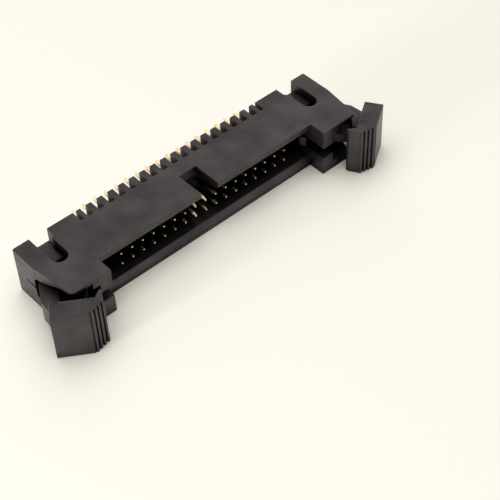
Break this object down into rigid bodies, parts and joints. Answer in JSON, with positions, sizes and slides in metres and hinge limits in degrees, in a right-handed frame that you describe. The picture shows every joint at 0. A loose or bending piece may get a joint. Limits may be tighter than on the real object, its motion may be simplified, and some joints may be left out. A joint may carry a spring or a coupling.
{
  "type": "box header with ejector latches",
  "caption": "Long two-row keyed box header with square contact pins, a comb of fins round the tails and a swinging ejector latch at each end.",
  "frame": {"origin": "on the resting face, the broad face without the key slot, below the middle of the mating tips of the contacts", "axes": "+X along the rows of contacts, -Y towards the mating plug and +Y towards the tails, +Z from the resting face to the face with the key slot"},
  "size_m": [0.0818, 0.0261, 0.0108],
  "materials": {
    "housing_plastic": "fine matt moulding, near-black charcoal",
    "latch_plastic": "fine matt moulding, near-black charcoal",
    "contact_plating": "pale gold plating over drawn square wire"
  },
  "bodies": {
    "housing": {"housing": "housing_plastic", "pin_a01": "contact_plating", "pin_a02": "contact_plating", "pin_a03": "contact_plating", "pin_a04": "contact_plating", "pin_a05": "contact_plating", "pin_a06": "contact_plating", "pin_a07": "contact_plating", "pin_a08": "contact_plating", "pin_a09": "contact_plating", "pin_a10": "contact_plating", "pin_a11": "contact_plating", "pin_a12": "contact_plating", "pin_a13": "contact_plating", "pin_a14": "contact_plating", "pin_a15": "contact_plating", "pin_a16": "contact_plating", "pin_a17": "contact_plating", "pin_b01": "contact_plating", "pin_b02": "contact_plating", "pin_b03": "contact_plating", "pin_b04": "contact_plating", "pin_b05": "contact_plating", "pin_b06": "contact_plating", "pin_b07": "contact_plating", "pin_b08": "contact_plating", "pin_b09": "contact_plating", "pin_b10": "contact_plating", "pin_b11": "contact_plating", "pin_b12": "contact_plating", "pin_b13": "contact_plating", "pin_b14": "contact_plating", "pin_b15": "contact_plating", "pin_b16": "contact_plating", "pin_b17": "contact_plating"},
    "latch_left": {"latch_left": "latch_plastic"},
    "latch_right": {"latch_right": "latch_plastic"}
  },
  "joints": [
    {"name": "latch_left_swing", "type": "hinge", "parent": "housing", "child": "latch_left", "pos_m": [-0.0336, 0.00427, 0.0054], "axis": [0, 0, 1], "range_deg": [0, 33]},
    {"name": "latch_right_swing", "type": "hinge", "parent": "housing", "child": "latch_right", "pos_m": [0.0336, 0.00427, 0.0054], "axis": [0, 0, -1], "range_deg": [0, 33]}
  ]
}
